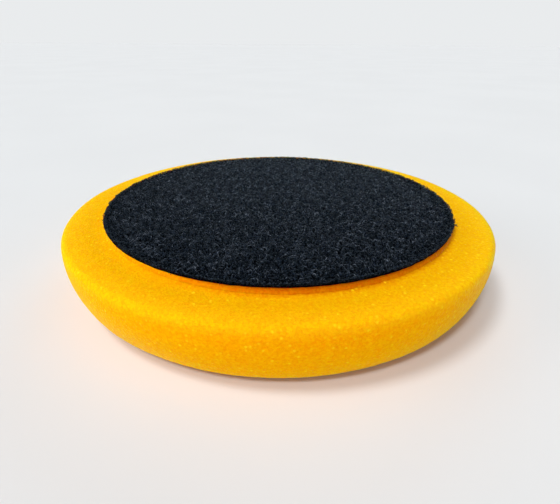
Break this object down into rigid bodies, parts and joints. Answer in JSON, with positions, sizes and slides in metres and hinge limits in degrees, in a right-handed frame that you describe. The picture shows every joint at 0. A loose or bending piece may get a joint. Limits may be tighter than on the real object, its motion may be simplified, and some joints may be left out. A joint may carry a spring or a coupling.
{
  "type": "polishing pad",
  "caption": "Round foam polishing pad with a leaning side and rounded working edge, and a smaller hook-and-loop disc bonded to its back.",
  "frame": {"origin": "middle of the working face, on the surface that the pad lies on", "axes": "+Z along the pad's axis, from the working face to the loop face; X and Y are free because the pad is round"},
  "size_m": [0.15, 0.15, 0.025],
  "materials": {
    "foam": "amber open-cell polyurethane foam",
    "adhesive": "translucent hot-melt film",
    "backing_foam": "thin dark amber foam, die cut",
    "loop_ground": "black warp-knit ground",
    "loop_pile": "black brushed nylon loops"
  },
  "bodies": {
    "root": {"foam_body": "foam", "adhesive_film": "adhesive", "backing_foam": "backing_foam", "ground_fabric": "loop_ground", "loop_pile": "loop_pile"}
  },
  "joints": []
}
